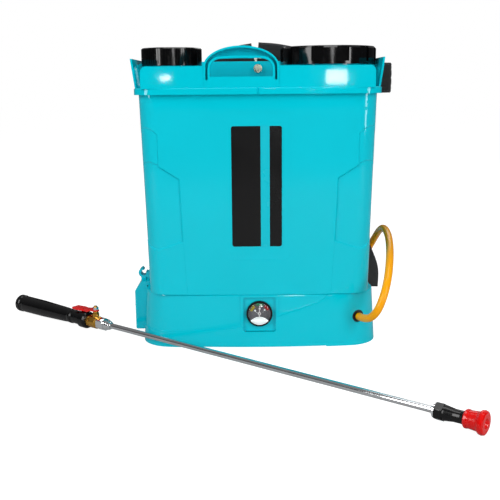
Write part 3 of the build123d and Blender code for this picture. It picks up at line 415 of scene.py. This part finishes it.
def box_into(mesh, size, centre, soft):
    """A block with softened edges, added to a bmesh."""
    made = bmesh.ops.create_cube(mesh, size=1.0)
    corners = made["verts"]
    bmesh.ops.scale(mesh, vec=Vector(size), verts=corners)
    bmesh.ops.translate(mesh, vec=Vector(centre), verts=corners)
    edges = list({edge for corner in corners for edge in corner.link_edges})
    bmesh.ops.bevel(mesh, geom=edges, offset=soft, segments=3, profile=0.5, affect="EDGES")


# ---------------------------------------------------------------- shoulder straps
STRAP_W = 46 * MM
STRAP_T = 5.3 * MM
NEAR_Y = 105.15 * MM       # middle of the layer that lies against the cover
FAR_Y = 110.85 * MM        # middle of the layer that comes back past the fold
FOLD_X = 206.3 * MM
WEB_W = 38 * MM
WEB_T = 2.4 * MM
TOP_LINE = [(1.5, 407), (34, 404), (80, 394), (130, 380), (170, 375), (206.3, 374.5)]
DOWN_LINE = [(206.3, 374.5), (182, 373), (160, 362), (146, 338), (142, 300), (145, 250), (152, 210), (155, 178)]
LEFT_LINE = [(-3.5, 406), (-34, 400), (-64, 384), (-92, 352), (-110, 302), (-121, 240), (-129, 178)]
RIGHT_WEB = [(153, 176), (153, 148), (157, 120), (170, 92), (179, 66), (179, 36)]
LEFT_WEB = [(-129, 176), (-131, 130), (-134, 56)]
RIGHT_WEB_Y = 106.9 * MM
LEFT_WEB_Y = 101.2 * MM
TAPE_SHARE = 0.82          # the binding tape covers the pad's edges beyond this share
STITCH = 3.0 * MM
PAD_STEP = 2.2 * MM        # two steps to a stitch


def lay(points, y, out, start=0.0):
    """Frames along (x, z) points in the plane at y: distance, place, direction and outward side."""
    line = evenly(catmull([Vector(p) * MM for p in points], 24), PAD_STEP)
    return [(start + far, Vector((p.x, y, p.y)), Vector((d.x, 0, d.y)), Vector((0, out, 0))) for far, p, d in line]


def fold(first, centre, radius, steps=10):
    """Frames of a half turn about a vertical line, from heading right to heading left."""
    distance, place, _, _ = first
    frames = []
    for i in range(1, steps):
        angle = pi * i / steps
        along = Vector((cos(angle), sin(angle), 0))
        out = Vector((-sin(angle), cos(angle), 0))
        spot = Vector((centre, (NEAR_Y + FAR_Y) / 2, place.z)) - out * radius
        frames.append((distance + radius * angle, spot, along, out))
    return frames


def pad_height(share):
    """Half thickness of a pad at a share of its half width: three channels inside a bound edge."""
    edge = abs(share)
    if edge > TAPE_SHARE:
        t = (edge - TAPE_SHARE) / (1 - TAPE_SHARE)
        return (0.36 * sqrt(max(0.0, 1 - t ** 3)) + 0.02) * STRAP_T
    channel = abs(((edge / TAPE_SHARE) * 3 / 2 + 0.5) % 1.0 - 0.5) * 2
    pillow = 1 - 0.3 * (1 - sqrt(max(0.0, 1 - (1 - channel) ** 2.2)))
    return (0.5 - 0.12 * (edge / TAPE_SHARE) ** 5) * pillow * STRAP_T


def pad_outline(shrink):
    """A pad's section as (across, thickness) points, thinner by shrink at its ends."""
    count = 40
    shares = [sin((i / count - 0.5) * pi) for i in range(count + 1)]
    front = [(s * STRAP_W / 2, -pad_height(s) * shrink) for s in shares]
    back = [(s * STRAP_W / 2, pad_height(s) * shrink) for s in reversed(shares)]
    return front + back[1:-1]


def swept(name, frames, profile, paint):
    """A closed band along frames; profile(distance) gives its (across, thickness) points."""
    vertices = []
    uvs = []
    faces = []
    ring = 0
    for distance, place, along, out in frames:
        across = along.cross(out)
        outline = profile(distance)
        ring = len(outline)
        for wide, thick in outline:
            vertices.append(place + across * wide + out * thick)
            uvs.append((distance, wide))
    for i in range(len(frames) - 1):
        for j in range(ring):
            k = (j + 1) % ring
            faces.append((i * ring + k, i * ring + j, (i + 1) * ring + j, (i + 1) * ring + k))
    faces.append(tuple(range(ring)))
    faces.append(tuple(reversed(range((len(frames) - 1) * ring, len(frames) * ring))))
    return piece_from(name, vertices, faces, paint, uvs=uvs)


def make_pad(name, frames, node):
    """A padded strap with a bound edge, sewn channels and rows of stitches."""
    length = frames[-1][0]

    def profile(distance):
        from_end = min(distance, length - distance)
        return pad_outline(0.45 + 0.55 * ease(from_end / (10 * MM)))

    pad = swept(name, frames, profile, pad_fabric)
    pad.data.materials.append(binding_tape.material)
    layer = pad.data.uv_layers[0].data
    for polygon in pad.data.polygons:
        if min(abs(layer[i].uv[1]) for i in polygon.loop_indices) > TAPE_SHARE * STRAP_W / 2:
            polygon.material_index = 1
    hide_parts(node)
    make_stitches(name + "_stitches", frames[4:-4:2])


def make_stitches(name, frames):
    """Rows of short threads on both faces of a pad, a little in from its edges."""
    mesh = bmesh.new()
    share = 0.87
    height = pad_height(share) + 0.1 * MM
    for _, place, along, out in frames:
        across = along.cross(out)
        turn = Matrix((along, across, out)).transposed().to_4x4()
        for side in (-1, 1):
            for face in (-1, 1):
                spot = place + across * (side * share * STRAP_W / 2) + out * (face * height)
                made = bmesh.ops.create_uvsphere(mesh, u_segments=6, v_segments=4, radius=1.0)
                shape = Matrix.Diagonal((STITCH / 2, 0.35 * MM, 0.35 * MM, 1.0))
                bmesh.ops.transform(mesh, matrix=Matrix.Translation(spot) @ turn @ shape, verts=made["verts"])
    piece_of(name, mesh, thread_paint)


def piece_of(name, mesh, paint, body="sprayer"):
    """A smooth-shaded piece made of a finished bmesh."""
    data = bpy.data.meshes.new(name)
    mesh.to_mesh(data)
    mesh.free()
    for polygon in data.polygons:
        polygon.use_smooth = True
    data.materials.append(paint.material)
    piece = bpy.data.objects.new(name, data)
    bpy.context.scene.collection.objects.link(piece)
    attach(piece, body)
    return piece


def web_outline(_distance):
    """Webbing's section: flat, with rolled edges."""
    half = WEB_W / 2
    thick = WEB_T / 2
    points = []
    for side in (1, -1):
        for i in range(7):
            angle = radians(-90 + 30 * i)
            points.append((side * (half - thick + thick * cos(angle)), side * thick * sin(angle)))
    return points


def make_straps():
    """Both shoulder straps and the webbing between each pad and its anchor on the base."""
    near = lay(TOP_LINE, NEAR_Y, 1)
    turn = fold(near[-1], FOLD_X, (FAR_Y - NEAR_Y) / 2)
    far = lay(DOWN_LINE, FAR_Y, -1, turn[-1][0] + 1 * MM)
    make_pad("pad_right", near + turn + far, "strap_right")
    make_pad("pad_left", lay(LEFT_LINE, NEAR_Y, 1), "strap_left")
    for name, points, y, node in (("web_right", RIGHT_WEB, RIGHT_WEB_Y, "webbing_right"),
                                  ("web_left", LEFT_WEB, LEFT_WEB_Y, "webbing_left")):
        web = swept(name, lay(points, y, 1), web_outline, web_fabric)
        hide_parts(node)


make_straps()


def make_buckles():
    """Ladder-lock buckles: two rails, three bars and a lifting lip, over the webbing."""
    mesh = bmesh.new()
    for x, y, z in ((154.5 * MM, RIGHT_WEB_Y, 159 * MM), (-129.5 * MM, LEFT_WEB_Y, 159 * MM)):
        for side in (1, -1):
            box_into(mesh, (3.4 * MM, 9.4 * MM, 23.6 * MM), (x + side * 23.1 * MM, y, z), 1.2 * MM)
        for dy, dz, tall in ((-3.2, 9.3, 4.5), (-3.2, -6, 4.5), (3.2, 2, 5.5), (3.3, -8.3, 7)):
            box_into(mesh, (44 * MM, 2.8 * MM, tall * MM), (x, y + dy * MM, z + dz * MM), 1.1 * MM)
    buckles = piece_of("ladder_buckles", mesh, matt_black)
    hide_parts("strap_buckles")


make_buckles()


# ---------------------------------------------------------------- print on the gauge
GAUGE_Z = 49.5 * MM
DIAL_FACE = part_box("gauge_dial")[0].y + 1.9 * MM
PRINT = 0.06 * MM          # how far the print stands off the card


def on_dial(radius, angle):
    """A point of the dial's print, the angle in degrees from +X towards +Z."""
    return (radius * cos(radians(angle)), DIAL_FACE - PRINT, GAUGE_Z + radius * sin(radians(angle)))


def arc_piece(name, inner, outer, start, stop, paint):
    """A flat printed arc."""
    steps = max(2, int(abs(stop - start) / 3))
    vertices = []
    for i in range(steps + 1):
        angle = start + (stop - start) * i / steps
        vertices += [on_dial(inner, angle), on_dial(outer, angle)]
    faces = [(2 * i, 2 * i + 1, 2 * i + 3, 2 * i + 2) for i in range(steps)]
    return piece_from(name, vertices, faces, paint)


def flat_piece(name, outline):
    """A flat glowing white shape on the dial, its outline in millimetres from the dial's centre."""
    points = [(x * MM, DIAL_FACE - 2 * PRINT, GAUGE_Z + z * MM) for x, z in outline]
    return piece_from(name, points, [tuple(range(len(points)))], glowing_white, smooth=False)


def make_dial():
    """Coloured zones, tick marks, a white lower shield, and three painted glints with thin white lines."""
    yellow = moulded("zone_yellow", "d8c420", 0.4, 0.5)
    green = moulded("zone_green", "2f9a6a", 0.4, 0.5)
    dull_red = moulded("zone_red", "c8281e", 0.4, 0.5)
    arc_piece("dial_zone_low", 10.4 * MM, 13.4 * MM, 164, 124, yellow)
    arc_piece("dial_zone_mid", 10.8 * MM, 13.8 * MM, 109, 66, green)
    arc_piece("dial_zone_high", 11.2 * MM, 14.2 * MM, 54, 22, dull_red)
    for i in range(13):
        angle = 164 - i * (164 - 16) / 12
        reach = 1.9 if i % 3 == 0 else 1.2
        arc_piece("dial_tick_%02d" % i, 14.5 * MM, (14.5 + reach * 0.6) * MM, angle + 0.7, angle - 0.7, white_plastic)
    # Three white spots are painted reflections: glints of lamps in the domed window, drawn on the dial in glowing
    # white. Thin white lines run from two of them towards the hub.
    for i, (x, z) in enumerate(((-6.0, 4.2), (0.3, 6.8), (7.3, 5.1))):
        glint_outline = [(x + 1.35 * cos(radians(20 * j)), z + 1.35 * sin(radians(20 * j))) for j in range(18)]
        flat_piece("dial_painted_glint_%d" % i, glint_outline)
        if i != 1:
            flat_piece("dial_line_%d" % i, [(x - 0.15, z - 1), (0.5, -2), (0.9, -1.7), (x + 0.15, z - 0.8)])
    shield = []
    radius = 15.8 * MM
    for i in range(25):
        angle = radians(-141 + i * (141 - 39) / 24)
        shield.append((radius * cos(angle), DIAL_FACE - 4 * PRINT, GAUGE_Z + radius * sin(angle)))
    for i in range(17):
        x = shield[24][0] * (1 - i / 8)
        z = -20.9 * MM + sqrt(max(0.0, (16 * MM) ** 2 - x * x))
        shield.append((x, DIAL_FACE - 4 * PRINT, GAUGE_Z + z))
    piece_from("dial_shield", shield, [tuple(range(len(shield)))], glowing_white, smooth=False)


make_dial()


def make_lens():
    """A thin domed window over the dial, in place of the flat one."""
    low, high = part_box("gauge_lens")
    middle = Vector(((low.x + high.x) / 2, 0, (low.z + high.z) / 2))
    rim = (high.x - low.x) / 2 - 0.05 * MM
    bulge = 42 * MM
    rings = 10
    count = 48
    vertices = []
    for y_rim in (low.y, high.y):
        hub = y_rim + sqrt(bulge ** 2 - rim ** 2)
        vertices.append(middle + Vector((0, hub - bulge, 0)))
        for i in range(1, rings + 1):
            reach = rim * i / rings
            y = hub - sqrt(bulge ** 2 - reach ** 2)
            for j in range(count):
                angle = 2 * pi * j / count
                vertices.append(middle + Vector((reach * cos(angle), y, reach * sin(angle))))
    shell = 1 + rings * count
    faces = []
    for j in range(count):
        k = (j + 1) % count
        faces.append((0, 1 + j, 1 + k))
        faces.append((shell, shell + 1 + k, shell + 1 + j))
        for i in range(rings - 1):
            near = 1 + i * count
            faces.append((near + j, near + count + j, near + count + k, near + k))
            near += shell
            faces.append((near + j, near + k, near + count + k, near + count + j))
        edge = 1 + (rings - 1) * count
        faces.append((edge + k, edge + j, shell + edge + j, shell + edge + k))
    lens = piece_from("gauge_window", vertices, faces, lens_paint)
    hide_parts("gauge_lens")


make_lens()


# ---------------------------------------------------------------- stage
def make_floor():
    """A wide pale floor."""
    mesh = bpy.data.meshes.new("floor")
    half = 12.0
    mesh.from_pydata([(-half, -half, 0), (half, -half, 0), (half, half, 0), (-half, half, 0)], [], [(0, 1, 2, 3)])
    paint = Paint("floor_paper", (0.3, 0.3, 0.302, 1), Roughness=0.9, Emission_Color=(1, 1, 1, 1))
    seen = paint.nodes.new("ShaderNodeLightPath").outputs["Is Camera Ray"]
    glow = paint.maths("ADD", paint.maths("MULTIPLY", seen, 0.8), 0.12)
    paint.links.new(glow, paint.shader.inputs["Emission Strength"])
    mesh.materials.append(paint.material)
    floor = bpy.data.objects.new("floor", mesh)
    bpy.context.scene.collection.objects.link(floor)


def softbox(name, place, target, width, height, power, tint=(1, 1, 1)):
    """A rectangular studio light that points at a target."""
    data = bpy.data.lights.new(name, "AREA")
    data.shape = "RECTANGLE"
    data.size = width
    data.size_y = height
    data.energy = power
    data.color = tint
    light = bpy.data.objects.new(name, data)
    bpy.context.scene.collection.objects.link(light)
    light.location = place
    light.rotation_mode = "QUATERNION"
    light.rotation_quaternion = (Vector(target) - Vector(place)).to_track_quat("-Z", "Y")
    return light


def make_world():
    """White behind the object; dimmer round it, as in a studio, for reflections and fill."""
    world = bpy.data.worlds.new("studio")
    bpy.context.scene.world = world
    world.use_nodes = True
    tree = world.node_tree
    background = tree.nodes["Background"]
    path = tree.nodes.new("ShaderNodeLightPath")
    place = tree.nodes.new("ShaderNodeTexCoord")
    parts = tree.nodes.new("ShaderNodeSeparateXYZ")
    tree.links.new(place.outputs["Generated"], parts.inputs[0])
    ramp = tree.nodes.new("ShaderNodeValToRGB")
    ramp.color_ramp.elements[0].position = 0.0
    ramp.color_ramp.elements[0].color = (0.04, 0.04, 0.042, 1)
    ramp.color_ramp.elements[1].position = 0.9
    ramp.color_ramp.elements[1].color = (0.3, 0.3, 0.3, 1)
    tree.links.new(parts.outputs["Z"], ramp.inputs["Fac"])
    mix = tree.nodes.new("ShaderNodeMix")
    mix.data_type = "RGBA"
    mix.inputs["B"].default_value = (1, 1, 1, 1)
    tree.links.new(path.outputs["Is Camera Ray"], mix.inputs["Factor"])
    tree.links.new(ramp.outputs["Color"], mix.inputs["A"])
    tree.links.new(mix.outputs["Result"], background.inputs["Color"])
    background.inputs["Strength"].default_value = 1.0


make_floor()
make_world()
AIM = (0, 0, 0.2)
softbox("left_softbox", (-1.5, -1.3, 1.0), AIM, 0.6, 1.5, 23)
softbox("right_softbox", (1.5, -1.5, 0.95), AIM, 0.5, 1.7, 25)
softbox("top_softbox", (0, 0.1, 2.1), (0, 0, 0), 1.2, 0.9, 12)
softbox("back_softbox", (0.2, 1.9, 1.5), AIM, 1.6, 1.0, 8)
softbox("front_strip", (0.30, -2.1, 0.88), (0.1, 0, 0.4), 0.3, 0.8, 7)
softbox("left_panel_glint", (-0.255, -1.40, 0.387), (-0.09, -0.1, 0.38), 0.03, 0.014, 0.05)
softbox("right_panel_glint", (0.245, -1.40, 0.387), (0.1, -0.1, 0.38), 0.06, 0.04, 0.22)
view = bpy.context.scene.view_settings
view.view_transform = "Standard"
view.look = "None"
